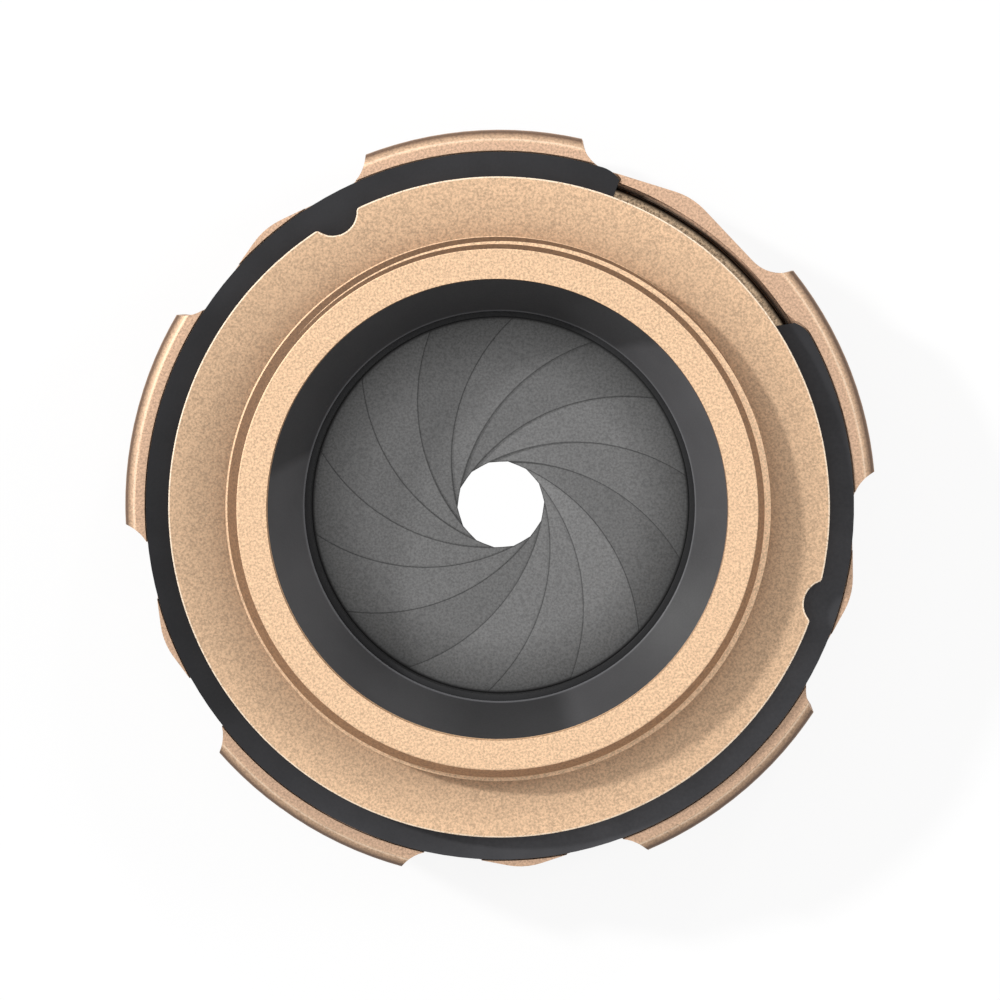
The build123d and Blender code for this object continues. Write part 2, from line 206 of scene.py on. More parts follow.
# %% Groups: places
def far_from_middle(tree, x, y):
    squares = math_node(tree, "MULTIPLY_ADD", x, x, math_node(tree, "MULTIPLY", y, y))
    return math_node(tree, "SQRT", squares)


turned_place, start, end = new_group("turned_place", {}, ["Radius", "Bearing", "Height"])
x, y, z = (math_node(turned_place, "MULTIPLY", part, 1000) for part in split_place(turned_place))
join(turned_place, far_from_middle(turned_place, x, y), end, "Radius")
join(turned_place, math_node(turned_place, "ARCTAN2", y, x), end, "Bearing")
join(turned_place, z, end, "Height")

centre_distance, start, end = new_group(
    "centre_distance", {"Centre X": 0.0, "Centre Y": 0.0}, ["Distance"])
gaps = []
for part, name in zip(split_place(centre_distance), ("Centre X", "Centre Y")):
    less = math_node(centre_distance, "MULTIPLY", start.outputs[name], -1)
    gaps.append(math_node(centre_distance, "MULTIPLY_ADD", part, 1000, less))
join(centre_distance, far_from_middle(centre_distance, *gaps), end, "Distance")
print("groups:", turned_place.name, centre_distance.name)

# %% [markdown]
# ## Blasted grain
# Bead blasting leaves a fine field of dents, one or two tenths of a millimetre across. Each
# dent throws its own small glint, so the surface sparkles in specks instead of shining. Two
# noises make it: a fine one for the dents, and a wide one because the blast is never quite even.
# A cell pattern adds the round rims of the dents to the height.

# %% Group: blasted grain
blasted_grain, start, end = new_group("blasted_grain", {"Grain Size": 0.2}, ["Speck", "Cloud", "Height"])
coordinates = add_node(blasted_grain, "ShaderNodeTexCoord").outputs["Object"]
per_metre = math_node(blasted_grain, "DIVIDE", 1000, start.outputs["Grain Size"])
fine = add_node(blasted_grain, "ShaderNodeTexNoise", {"Detail": 3.0, "Roughness": 0.65})
cells = add_node(blasted_grain, "ShaderNodeTexVoronoi", {"Randomness": 1.0})
wide = add_node(blasted_grain, "ShaderNodeTexNoise", {"Scale": 260.0, "Detail": 3.0})
for pattern in (fine, cells, wide):
    join(blasted_grain, coordinates, pattern, "Vector")
join(blasted_grain, per_metre, fine, "Scale")
join(blasted_grain, math_node(blasted_grain, "MULTIPLY", per_metre, 1.3), cells, "Scale")
rims = math_node(blasted_grain, "MULTIPLY", cells.outputs["Distance"], 0.5)
join(blasted_grain, fade(blasted_grain, fine.outputs[0], 0.34, 0.62), end, "Speck")
join(blasted_grain, wide.outputs[0], end, "Cloud")
join(blasted_grain, math_node(blasted_grain, "ADD", fine.outputs[0], rims), end, "Height")
print("group:", blasted_grain.name)

# %% [markdown]
# ## Tool marks
# A lathe tool leaves rings as fine as a hair. On a face they follow the radius, and on a wall
# they follow the height, so the sum of both gives rings everywhere. A second noise, squeezed
# along the turn, gives the long smears that a greasy cloth leaves.

# %% Group: tool marks
tool_marks, start, end = new_group("tool_marks", {"Pitch": 0.12}, ["Mark", "Smear"])
place = use_group(tool_marks, turned_place)
across = math_node(tool_marks, "ADD", place.outputs["Radius"], place.outputs["Height"])
rings = add_node(tool_marks, "ShaderNodeTexNoise", {"Scale": 1.0, "Detail": 2.0}, noise_dimensions="1D")
join(tool_marks, math_node(tool_marks, "DIVIDE", across, start.outputs["Pitch"]), rings, "W")
streak_place = add_node(tool_marks, "ShaderNodeCombineXYZ")
for index, (name, density) in enumerate((("Radius", 9), ("Bearing", 22), ("Height", 9))):
    join(tool_marks, math_node(tool_marks, "MULTIPLY", place.outputs[name], density), streak_place, index)
streaks = add_node(tool_marks, "ShaderNodeTexNoise", {"Scale": 1.0, "Detail": 4.0, "Roughness": 0.6})
join(tool_marks, streak_place.outputs[0], streaks, "Vector")
join(tool_marks, rings.outputs[0], end, "Mark")
join(tool_marks, streaks.outputs[0], end, "Smear")
print("group:", tool_marks.name)

# %% [markdown]
# ## Lines and tilts
# A line round a chosen centre marks an edge where a bright line, a painted highlight, is laid. The tilt of
# the surface away from the axis tells faces from walls and roundings, whichever way they look.

# %% Groups: edge line and tilt
highlight_ring, start, end = new_group(
    "highlight_ring",
    {"Centre X": 0.0, "Centre Y": 0.0, "Radius": 20.0, "Half Width": 0.05, "Fade": 0.05}, ["Mask"])
distance = use_group(highlight_ring, centre_distance, Centre_X=start.outputs["Centre X"],
                     Centre_Y=start.outputs["Centre Y"]).outputs["Distance"]
off = math_node(highlight_ring, "ABSOLUTE", math_node(highlight_ring, "SUBTRACT", distance, start.outputs["Radius"]))
over = math_node(highlight_ring, "SUBTRACT", off, start.outputs["Half Width"])
over = math_node(highlight_ring, "DIVIDE", over, start.outputs["Fade"])
join(highlight_ring, math_node(highlight_ring, "SUBTRACT", 1, over, clamp=True), end, "Mask")

tilt, start, end = new_group("tilt", {"Flat": 0.95, "Steep": 0.7}, ["Mask"])
along_axis = math_node(tilt, "ABSOLUTE", split_place(tilt, "Normal")[2])
join(tilt, fade(tilt, along_axis, start.outputs["Flat"], start.outputs["Steep"]), end, "Mask")
print("groups:", highlight_ring.name, tilt.name)

# %% [markdown]
# ## Painted sheen of a turned face
# A turned face isn't the same all round, even after blasting: the rings left by the tool gather the light
# into two opposite fans. This group paints that sheen into a colour, with one lighter side as well. Two
# cosines of the bearing say both, and the share that comes out multiplies a colour.

# %% Group: painted turned sheen
painted_turned_sheen, start, end = new_group(
    "painted_turned_sheen",
    {"Level": 1.0, "Swing": 0.0, "Swing Bearing": 0.0, "Fans": 0.0, "Fan Bearing": 0.0}, ["Share"])
bearing = use_group(painted_turned_sheen, turned_place).outputs["Bearing"]
turn = math_node(painted_turned_sheen, "SUBTRACT", bearing, start.outputs["Swing Bearing"])
swing = math_node(painted_turned_sheen, "MULTIPLY", math_node(painted_turned_sheen, "COSINE", turn), start.outputs["Swing"])
turn = math_node(painted_turned_sheen, "SUBTRACT", bearing, start.outputs["Fan Bearing"])
fans = math_node(painted_turned_sheen, "COSINE", math_node(painted_turned_sheen, "MULTIPLY", turn, 2))
fans = math_node(painted_turned_sheen, "MULTIPLY_ADD", fans, start.outputs["Fans"], start.outputs["Level"])
join(painted_turned_sheen, math_node(painted_turned_sheen, "ADD", swing, fans), end, "Share")
print("group:", painted_turned_sheen.name)

# %% [markdown]
# ## Champagne gold anodising
# The cap and the grip ring are aluminium, blasted and then anodised. The film is a thin layer of
# glassy oxide over metal, so the shader is one part metal to two parts paint. Colour, roughness
# and height all take the same grain, because on the real surface the same dents cause all three.
# Roundings and walls carry painted shade, which makes them browner than faces.

# %% Recipe: blasted gold
film_metallic = 0.3
dent_size, dent_depth, dent_contrast = 0.155, 0.03, 0.52
white, wall_shade = (1.0, 1.0, 1.0), (0.66, 0.62, 0.59)


def blasted_gold(name, light, rounding_shade, flat, steep):
    """Returns the material, its tree, its shader and the tint, so that each piece can add its own marks and
    painted light.
    """
    material, tree, shader = new_material(name, film_metallic, 0.55, light)
    grain = use_group(tree, blasted_grain, Grain_Size=dent_size)
    dark = tuple(dent_contrast * channel for channel in light)
    dull = tuple(0.8 * channel for channel in light)
    tint = mix_colour(tree, grain.outputs["Speck"], dark, light)
    tint = mix_colour(tree, math_node(tree, "MULTIPLY", grain.outputs["Cloud"], 0.3), tint, dull)
    rounding = use_group(tree, tilt, Flat=flat, Steep=steep).outputs["Mask"]
    wall = use_group(tree, tilt, Flat=0.4, Steep=0.1).outputs["Mask"]
    # painted shade: roundings and walls are made browner than faces
    shade = mix_colour(tree, wall, mix_colour(tree, rounding, white, rounding_shade), wall_shade)
    join(tree, fade(tree, grain.outputs["Speck"], 0, 1, 0.48, 0.64), shader, "Roughness")
    add_bump(tree, shader, grain.outputs["Height"], 0.45, dent_depth)
    return material, tree, shader, shade_colour(tree, tint, shade)


def paint_highlight_line(tree, shader, tint, mask, colour):
    """Paints a bright line, a painted highlight, over the tint and makes it less mirror-like."""
    grain = use_group(tree, blasted_grain, Grain_Size=0.12)
    broken = fade(tree, grain.outputs["Speck"], 0.1, 0.45)
    mask = math_node(tree, "MULTIPLY", mask, broken, clamp=True)
    join(tree, mix_colour(tree, mask, tint, colour), shader, "Base Color")
    join(tree, math_node(tree, "MULTIPLY_ADD", mask, -0.25, film_metallic), shader, "Metallic")


print("recipe ready")

# %% [markdown]
# The flange of the cap lies deeper than the collar, and its colour carries painted shade, most of all close
# to the collar's foot. It also carries a painted sheen: the two fans of a turned face.

# %% Material: cap gold, the flange
flange_radius, flange_front = 21.857, 11.212
collar_flat, collar_steep = 0.82, 0.74
flange_level, past_collar = (11.4, 11.25), (17.5, 17.7)
foot_radius, open_radius, foot_shade, open_shade = 18.0, 21.4, 0.68, 0.90
cap_gold, tree, shader, tint = blasted_gold(
    "cap_gold", (1.0, 0.675, 0.42), (0.21, 0.165, 0.13), collar_flat, collar_steep)
place = use_group(tree, turned_place)
low = fade(tree, place.outputs["Height"], *flange_level)
outer = fade(tree, place.outputs["Radius"], *past_collar)
# painted shade on the flange, darkest at the collar's foot
painted_flange_shade = fade(tree, place.outputs["Radius"], foot_radius, open_radius, foot_shade, open_shade)
# painted sheen on the flange: the two fans of a turned face
fans = use_group(tree, painted_turned_sheen, Level=0.92, Swing=0.05, Swing_Bearing=math.radians(-9),
                 Fans=0.085, Fan_Bearing=math.radians(80)).outputs["Share"]
painted_flange_shade = math_node(tree, "MULTIPLY", painted_flange_shade, fans)
tint = shade_colour(tree, tint, painted_flange_shade, math_node(tree, "MULTIPLY", low, outer))
print("material:", cap_gold.name)

# %% [markdown]
# A painted highlight lines the front edge of the flange's rim and of its two pin notches. The notches are
# parts of a circle whose centre lies just outside the rim. The steep faces of the thread carry a brown
# painted shade, and a painted light makes them lighter, most of all on one side.

# %% Material: cap gold, the edges and the thread
def spot(radius, bearing):
    """The point at a radius, and at a bearing in degrees."""
    return Vector((math.cos(math.radians(bearing)), math.sin(math.radians(bearing)))) * radius


notch_bearings, notch_radius, notch_depths = (119.2, 343.8), 1.6, (1.05, 0.8)
line_width = {"Half_Width": 0.035, "Fade": 0.03}
line_inset = 0.045
front_corner, thread_level = (flange_front - 0.14, flange_front - 0.1), (11.6, 12.0)
# painted highlight along the front edge of the flange's rim and its notches
rim_highlight = use_group(tree, highlight_ring, Radius=flange_radius - line_inset, **line_width).outputs["Mask"]
for bearing, depth in zip(notch_bearings, notch_depths):
    centre = spot(flange_radius - depth + notch_radius, bearing)
    line = use_group(tree, highlight_ring, Centre_X=centre.x, Centre_Y=centre.y,
                     Radius=notch_radius + line_inset, **line_width)
    rim_highlight = math_node(tree, "MAXIMUM", rim_highlight, line.outputs["Mask"])
near_front = fade(tree, place.outputs["Height"], *front_corner)
rim_highlight = math_node(tree, "MULTIPLY", rim_highlight, math_node(tree, "MULTIPLY", near_front, outer))
# painted light: lifts the brown painted shade of the steep thread faces, most of all on one side
thread_light_lift = use_group(tree, painted_turned_sheen, Level=1.6, Swing=0.62, Swing_Bearing=math.radians(285))
steep = use_group(tree, tilt, Flat=collar_flat, Steep=collar_steep).outputs["Mask"]
steep = math_node(tree, "MULTIPLY", steep, fade(tree, place.outputs["Height"], *thread_level))
tint = shade_colour(tree, tint, thread_light_lift.outputs["Share"], steep)
paint_highlight_line(tree, shader, tint, rim_highlight, (0.95, 0.77, 0.58))
print("last notch centre at", round(centre.length, 3), "mm from the axis")

# %% [markdown]
# The grip ring is turned by hand. Its lobes carry a painted highlight, a thin line near their outer edge,
# and a painted sheen makes the ring lighter towards one bearing. A duller band lies inside the lobes, and
# its bore is painted dark, as shade.

# %% Material: grip gold
between_lobes, bore_shade_border, lobe_front = (24.25, 24.15), (22.78, 22.68), (9.2, 9.4)
lobe_edge_radius, bore_shade_cover, lobe_highlight_strength = 24.33, 0.85, 0.4
grip_gold, tree, shader, tint = blasted_gold(
    "grip_gold", (0.98, 0.66, 0.43), (0.22, 0.18, 0.155), 0.93, 0.58)
place = use_group(tree, turned_place)
inner = fade(tree, place.outputs["Radius"], *between_lobes)
tint = shade_colour(tree, tint, (0.86, 0.84, 0.86), inner)
# painted sheen: the ring is lighter towards one bearing
painted_sheen = use_group(tree, painted_turned_sheen, Level=0.895, Swing=0.1, Swing_Bearing=math.radians(115))
tint = shade_colour(tree, tint, painted_sheen.outputs["Share"])
# painted shade: the bore of the grip ring is darkened
bore = math_node(tree, "MULTIPLY", fade(tree, place.outputs["Radius"], *bore_shade_border), bore_shade_cover)
tint = mix_colour(tree, bore, tint, (0.05, 0.035, 0.025))
# painted highlight: a thin bright line near the lobes' outer edge
line = use_group(tree, highlight_ring, Radius=lobe_edge_radius, Half_Width=0.03, Fade=0.05).outputs["Mask"]
front = fade(tree, place.outputs["Height"], *lobe_front)
lobe_highlight = math_node(tree, "MULTIPLY", math_node(tree, "MULTIPLY", line, front), lobe_highlight_strength)
paint_highlight_line(tree, shader, tint, lobe_highlight, (0.97, 0.79, 0.60))
print("material:", grip_gold.name)

# %% [markdown]
# ## Bare barrel
# Where the grip ring runs, the barrel is bright turned metal under a film of grease. Rings from the tool,
# and streaks along the turn, break the shine. Its front shoulder shows between the ends of the washer:
# scuffed and golden brown inside, and painted black at the outer edge, as shade in the gap to the grip
# ring. Under the flange and the washer the shoulder is painted dark, as shade.

# %% Material: turned barrel
shoulder_level, scuff_and_shade_border, washer_shade_border = (9.0, 9.1), (22.36, 22.12), (21.85, 21.75)
barrel_turned, tree, shader = new_material("barrel_turned", 1.0, 0.3, (0.40, 0.37, 0.34))
marks = use_group(tree, tool_marks, Pitch=0.05)
metal = mix_colour(tree, marks.outputs["Smear"], (0.22, 0.20, 0.18), (0.60, 0.57, 0.53))
place = use_group(tree, turned_place)
shoulder = fade(tree, place.outputs["Height"], *shoulder_level)
specks = use_group(tree, blasted_grain, Grain_Size=0.14).outputs["Speck"]
# outside this border the shoulder is painted dark, as shade in the gap to the grip ring
inside = fade(tree, place.outputs["Radius"], *scuff_and_shade_border)
scuffed = math_node(tree, "MULTIPLY", fade(tree, specks, -0.25, 0.9), inside)
front = mix_colour(tree, scuffed, (0.035, 0.025, 0.018), (0.78, 0.58, 0.39))
metal = mix_colour(tree, shoulder, metal, front)
# painted shade: the shoulder under the flange and washer is darkened
shade_under_washer = math_node(tree, "MULTIPLY", fade(tree, place.outputs["Radius"], *washer_shade_border), shoulder)
join(tree, mix_colour(tree, shade_under_washer, metal, (0.03, 0.022, 0.017)), shader, "Base Color")
join(tree, fade(tree, marks.outputs["Smear"], 0.3, 0.7, 0.18, 0.45), shader, "Roughness")
add_bump(tree, shader, marks.outputs["Mark"], 0.4, 0.01)
print("material:", barrel_turned.name)

# %% [markdown]
# ## Blacks
# Five blacks lie side by side, and the eye tells them apart by their gloss: the satin cone, the two dull
# plates inside, the turned rear ring and the plastic washer. All come from one recipe, with grain and tool
# marks, and each may carry a painted sheen round the axis. The washer's painted sheen makes it lighter on
# one side and in two opposite fans. Its high metallic share tints the gloss with its own dark colour, which
# keeps the black deep.

# %% Material: black finishes
def black_finish(name, dark, light, roughness, grain_size, pitch, depth, metallic=0.0, **painted_sheen):
    material, tree, shader = new_material(name, metallic, roughness, dark)
    grain = use_group(tree, blasted_grain, Grain_Size=grain_size)
    marks = use_group(tree, tool_marks, Pitch=pitch)
    share = use_group(tree, painted_turned_sheen, **painted_sheen).outputs["Share"]
    paint = shade_colour(tree, mix_colour(tree, grain.outputs["Cloud"], dark, light), share)
    join(tree, paint, shader, "Base Color")
    gloss = math_node(tree, "MULTIPLY_ADD", grain.outputs["Speck"], 0.12, roughness - 0.06)
    join(tree, gloss, shader, "Roughness")
    height = math_node(tree, "ADD", grain.outputs["Height"], marks.outputs["Mark"])
    add_bump(tree, shader, height, 0.3, depth)
    return material


cone_black = black_finish(
    "cone_black", (0.058, 0.057, 0.059), (0.085, 0.084, 0.087), 0.38, 0.12, 0.15, 0.006)
cam_black = black_finish(
    "cam_black", (0.006, 0.006, 0.007), (0.013, 0.013, 0.014), 0.66, 0.15, 0.2, 0.01)
plate_black = black_finish(
    "plate_black", (0.020, 0.020, 0.022), (0.032, 0.032, 0.034), 0.62, 0.15, 0.2, 0.01)
ring_black = black_finish(
    "ring_black", (0.022, 0.022, 0.025), (0.040, 0.040, 0.044), 0.36, 0.15, 0.08, 0.01)
# painted sheen: the washer is lighter on one side and in two opposite fans
washer_black = black_finish(
    "washer_black", (0.032, 0.032, 0.034), (0.058, 0.058, 0.062), 0.55, 0.25, 0.3, 0.01, 0.8,
    Level=1.08, Swing=0.48, Swing_Bearing=math.radians(-48), Fans=0.29, Fan_Bearing=math.radians(-63))
print("five blacks ready")

# %% [markdown]
# The inside of the cone carries a painted reflection, lighter at some bearings and darker at others. A
# colour ramp laid round the axis says how light each bearing is. One dark painted reflection has slanted
# sides, because it narrows down the cone, so it is a mask of its own. The lip at the narrow end carries a
# painted highlight, a thin bright line.

# %% The cone's painted reflections and its painted lip highlight
def tone_ramp(tree, factor, stops):
    """A colour ramp from (position, tone) stops, the first at 0 and the last at 1."""
    ramp = add_node(tree, "ShaderNodeValToRGB")
    elements = ramp.color_ramp.elements
    elements[0].color = (*stops[0][1], 1)
    elements[-1].color = (*stops[-1][1], 1)
    for position, tone in stops[1:-1]:
        elements.new(position).color = (*tone, 1)
    join(tree, factor, ramp, 0)
    return ramp.outputs[0]


# painted reflection: how light the cone is at each bearing, in degrees
painted_reflection_tones = ((0, 1.0), (30, 1.25), (60, 1.20), (120, 1.10), (171, 0.95), (215, 0.85), (250, 0.60),
               (264, 0.42), (286, 0.44), (292, 0.92), (330, 0.44), (360, 1.0))
dark_middle, dark_spread, dark_start = math.radians(109), math.radians(3.6), math.radians(8.5)
lip_radius, lip_highlight_strength = 13.03, 0.5
tree = cone_black.node_tree
shader = tree.nodes["Principled BSDF"]
paint = shader.inputs["Base Color"].links[0].from_socket
place = use_group(tree, turned_place)
turns = math_node(tree, "MULTIPLY_ADD", place.outputs["Bearing"], 1 / math.tau, 1)
stops = [(bearing / 360, (tone, tone, tone)) for bearing, tone in painted_reflection_tones]
paint = shade_colour(tree, paint, tone_ramp(tree, math_node(tree, "FRACT", turns), stops))
# painted dark reflection with slanted sides
aside = math_node(tree, "ABSOLUTE", math_node(tree, "SUBTRACT", place.outputs["Bearing"], dark_middle))
half_angle = math_node(tree, "MULTIPLY_ADD", place.outputs["Radius"], dark_spread, dark_start)
dark_side = fade(tree, math_node(tree, "SUBTRACT", half_angle, aside), -0.03, 0.03)
paint = shade_colour(tree, paint, (0.52, 0.52, 0.52), dark_side)
# painted highlight: a thin bright line along the lip
lip = use_group(tree, highlight_ring, Radius=lip_radius, Half_Width=0.03, Fade=0.04).outputs["Mask"]
paint = mix_colour(tree, math_node(tree, "MULTIPLY", lip, lip_highlight_strength), paint, (0.20, 0.20, 0.21))
join(tree, paint, shader, "Base Color")
print("cone ramp with", len(painted_reflection_tones), "tones")

# %% [markdown]
# ## Leaf steel
# The leaves are stamped from spring steel some five hundredths of a millimetre thick and
# blackened. No two come out of the bath the same grey, and along the stamped edge the bath bites
# deeper, which draws the fine dark line that makes the fan readable. So each leaf gets its own
# material, with its own tone and the centre of its own curved edge. That centre follows from the
# mechanism: a leaf swings about its pivot until its edge touches the opening.

# %% Where each leaf's edge is centred
leaf_count = 14
leaf_edge_radius = 13.1
pivot_radius = 15.6
first_pivot_bearing = 23.0
rest_aperture_radius = 2.86


def edge_centre(index):
    """Where the centre of a leaf's curved edge is at rest: a point on the circle of swings."""
    pivot_bearing = first_pivot_bearing + index * 360 / leaf_count
    swing = 2 * math.degrees(math.asin((leaf_edge_radius - rest_aperture_radius) / (2 * pivot_radius)))
    return spot(pivot_radius, pivot_bearing) - spot(pivot_radius, pivot_bearing - swing)


print("leaf 1 edge centre", [round(value, 2) for value in edge_centre(0)],
      "mm, distance", round(edge_centre(0).length, 2))

# %% [markdown]
# The leaves also darken outwards with painted shade, where the cone shades them, and from just inside the
# lip outwards they are painted nearly black, as shade.

# %% Material: leaf steel
leaf_tones = (1.0, 0.98, 0.88, 1.04, 1.05, 1.12, 0.88, 1.0, 1.07, 0.91, 1.0, 0.89, 1.0, 0.97)
cone_shade, lip_shade_border = (8.8, 12.4), (12.42, 12.6)
bite_start, bite_end, bite_cover = leaf_edge_radius + 0.03, leaf_edge_radius + 0.08, 0.6


def leaf_steel(index):
    tone = leaf_tones[index]
    material, tree, shader = new_material(f"leaf_steel_{index + 1:02d}", 0.8, 0.42, (0.2, 0.2, 0.2))
    grain = use_group(tree, blasted_grain, Grain_Size=0.16)
    light = tuple(tone * value for value in (0.235, 0.234, 0.232))
    dark = tuple(tone * value for value in (0.158, 0.157, 0.156))
    tint = mix_colour(tree, grain.outputs["Speck"], dark, light)
    radius = use_group(tree, turned_place).outputs["Radius"]
    tint = shade_colour(tree, tint, (0.51, 0.51, 0.51), fade(tree, radius, *cone_shade))
    # painted shade: the leaves turn nearly black from just inside the lip outwards
    tint = mix_colour(tree, fade(tree, radius, *lip_shade_border), tint, (0.012, 0.012, 0.012))
    centre = edge_centre(index)
    reach = use_group(tree, centre_distance, Centre_X=centre.x, Centre_Y=centre.y).outputs["Distance"]
    bitten = fade(tree, reach, bite_start, bite_end, bite_cover, 0.0)
    join(tree, mix_colour(tree, bitten, tint, (0.02, 0.02, 0.02)), shader, "Base Color")
    add_bump(tree, shader, grain.outputs["Height"], 0.25, 0.01)
    return material


print("leaf tones from", min(leaf_tones), "to", max(leaf_tones))

# %% [markdown]
# ## Small steel
# Studs and screws are plain turned steel, the screws blackened with oil. Their turning marks
# would be too small to see, so a little grain in colour and gloss is enough.

# %% Material: studs and screws
stud_steel, tree, shader = new_material("stud_steel", 1.0, 0.3, (0.5, 0.5, 0.5))
grain = use_group(tree, blasted_grain, Grain_Size=0.3)
paint = mix_colour(tree, grain.outputs["Cloud"], (0.42, 0.42, 0.43), (0.62, 0.61, 0.60))
join(tree, paint, shader, "Base Color")
join(tree, math_node(tree, "MULTIPLY_ADD", grain.outputs["Speck"], 0.15, 0.22), shader, "Roughness")
screw_steel = black_finish(
    "screw_steel", (0.06, 0.06, 0.062), (0.11, 0.11, 0.115), 0.35, 0.2, 0.1, 0.008, 0.9)
print("materials:", stud_steel.name, screw_steel.name)

# %% [markdown]
# ## Dress the nodes
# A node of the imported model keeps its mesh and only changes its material.

# %% Assign materials
def dress(node, material):
    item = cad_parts[node]
    item.data.materials.clear()
    item.data.materials.append(material)


dress("grip_ring", grip_gold)
dress("housing_barrel", barrel_turned)
dress("baffle_cone", cone_black)
dress("pivot_plate", plate_black)
dress("cam_ring", cam_black)
dress("retaining_ring", ring_black)
dress("friction_washer", washer_black)
dress("drive_screws", screw_steel)
for number in range(leaf_count):
    dress(f"leaf_{number + 1:02d}", leaf_steel(number))
    dress(f"leaf_studs_{number + 1:02d}", stud_steel)
print("dressed all but the cap, of", len(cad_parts), "nodes")

# %% [markdown]
# ## The threaded cap
# The cap is the piece that the eye meets first: a flange with two pin notches, and a collar with
# a fine screw thread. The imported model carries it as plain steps. A plain cylinder can't show a
# thread, so the next cells turn the cap again as a machinist would: a bar on the lathe, a notched
# flange, and a threading tool that runs up the collar in a helix and out through its chamfer.
# The first helpers step in and out of edit mode, pick everything and turn all faces outwards.

# %% Helpers for edit mode
def edit(piece, select="EDGE"):
    bpy.ops.object.select_all(action="DESELECT")
    piece.select_set(True)
    bpy.context.view_layer.objects.active = piece
    bpy.ops.object.mode_set(mode="EDIT")
    bpy.ops.mesh.select_mode(type=select)
    bpy.ops.mesh.select_all(action="DESELECT")


def done():
    bpy.ops.object.mode_set(mode="OBJECT")


def pick_all():
    bpy.ops.mesh.select_all(action="SELECT")


def face_outwards():
    pick_all()
    bpy.ops.mesh.normals_make_consistent(inside=False)


def weld(gap):
    """Merges the points that lie closer than the gap, in millimetres."""
    pick_all()
    bpy.ops.mesh.remove_doubles(threshold=gap * mm)


print("edit helpers ready")

# %% [markdown]
# The lathe is a circle. It is extruded and scaled from corner to corner of a profile, and at the
# end the last loop is bridged to the first, which closes the ring. A Boolean cuts one piece
# with another, and the tool is thrown away after the cut.

# %% A lathe and a cutter
smooth_steps = 320


def lathe(name, profile):
    """A turned ring from (radius, height) corners in millimetres."""
    radius, height = profile[0]
    bpy.ops.object.select_all(action="DESELECT")
    bpy.ops.mesh.primitive_circle_add(vertices=smooth_steps, radius=radius * mm,
                                      location=(0, 0, height * mm))
    piece = bpy.context.object
    piece.name = name
    bpy.ops.object.transform_apply(location=True)
    edit(piece)
    pick_all()
    for next_radius, next_height in profile[1:]:
        rise = (0, 0, (next_height - height) * mm)
        bpy.ops.mesh.extrude_edges_move(TRANSFORM_OT_translate={"value": rise})
        growth = next_radius / radius
        bpy.ops.transform.resize(value=(growth, growth, 1), center_override=(0, 0, next_height * mm))
        radius, height = next_radius, next_height
    pick_all()
    bpy.ops.mesh.region_to_loop()
    bpy.ops.mesh.bridge_edge_loops()
    face_outwards()
    done()
    return piece


def cut(piece, tool, operation="DIFFERENCE"):
    bpy.ops.object.select_all(action="DESELECT")
    piece.select_set(True)
    bpy.context.view_layer.objects.active = piece
    step = piece.modifiers.new("cut", "BOOLEAN")
    step.operation = operation
    step.solver = "EXACT"
    step.object = tool
    bpy.ops.object.modifier_apply(modifier=step.name)
    bpy.data.objects.remove(tool)
    return piece


print("circles of", smooth_steps, "steps")

# %% [markdown]
# The profile starts at the hub behind the flange, climbs over a relief groove to the crest of the
# thread, leans back along the chamfer to the front face, and goes down the bore, past the thin
# web that holds the cone.

# %% Turn the hub and the collar
hub_rear, flange_rear, web_rear, collar_front = 9.1623, 9.8123, 13.1119, 13.8119
hub_radius, cap_bore, collar_bore, face_radius = 18.4, 16.45, 15.1, 17.06
crest_radius, root_radius, thread_pitch = 17.93, 17.34, 0.75
groove_radius, groove_rear, groove_front = root_radius - 0.06, 10.5, 11.82
chamfer_foot = collar_front - (crest_radius - face_radius)
cap = lathe("cap_with_thread", [
    (cap_bore, hub_rear), (hub_radius - 0.1, hub_rear), (hub_radius, hub_rear + 0.1),
    (hub_radius, groove_rear), (groove_radius, groove_rear), (groove_radius, groove_front),
    (crest_radius, groove_front + 0.3), (crest_radius, chamfer_foot),
    (face_radius + 0.03, collar_front - 0.03), (face_radius - 0.04, collar_front),
    (collar_bore + 0.03, collar_front), (collar_bore, collar_front - 0.04),
    (collar_bore, web_rear), (cap_bore, web_rear),
])
print(cap.name, len(cap.data.polygons), "faces")

# %% [markdown]
# A notch is cut by a prism. Its outline follows the round bottom of the notch and the rounded
# corners where the bottom meets the rim, because a bevel would tear such thin corners. The
# outline is filled, extruded through the flange, and handed to the Boolean.

# %% Cutters for the pin notches
corner_rounding = 0.32


def notch_outline(bearing, depth):
    out = flange_radius - depth + notch_radius
    inside = flange_radius - corner_rounding
    reach = notch_radius + corner_rounding
    turn = math.degrees(math.acos((inside ** 2 + out ** 2 - reach ** 2) / (2 * inside * out)))
    middle = spot(out, bearing)
    sides = []
    for start in (bearing + turn, bearing - turn):
        corner = spot(inside, start)
        inward = middle - corner
        end = math.degrees(math.atan2(inward.y, inward.x))
        sweep = (end - start + 180) % 360 - 180
        arc = [corner + spot(corner_rounding, start + sweep * step / 8) for step in range(9)]
        sides.append([spot(flange_radius + 1, start)] + arc)
    first, last = sides[0][-1] - middle, sides[1][-1] - middle
    start = math.degrees(math.atan2(first.y, first.x))
    sweep = (math.degrees(math.atan2(last.y, last.x)) - start) % 360
    bottom = [middle + spot(notch_radius, start + sweep * step / 28) for step in range(1, 28)]
    return sides[0] + bottom + sides[1][::-1]


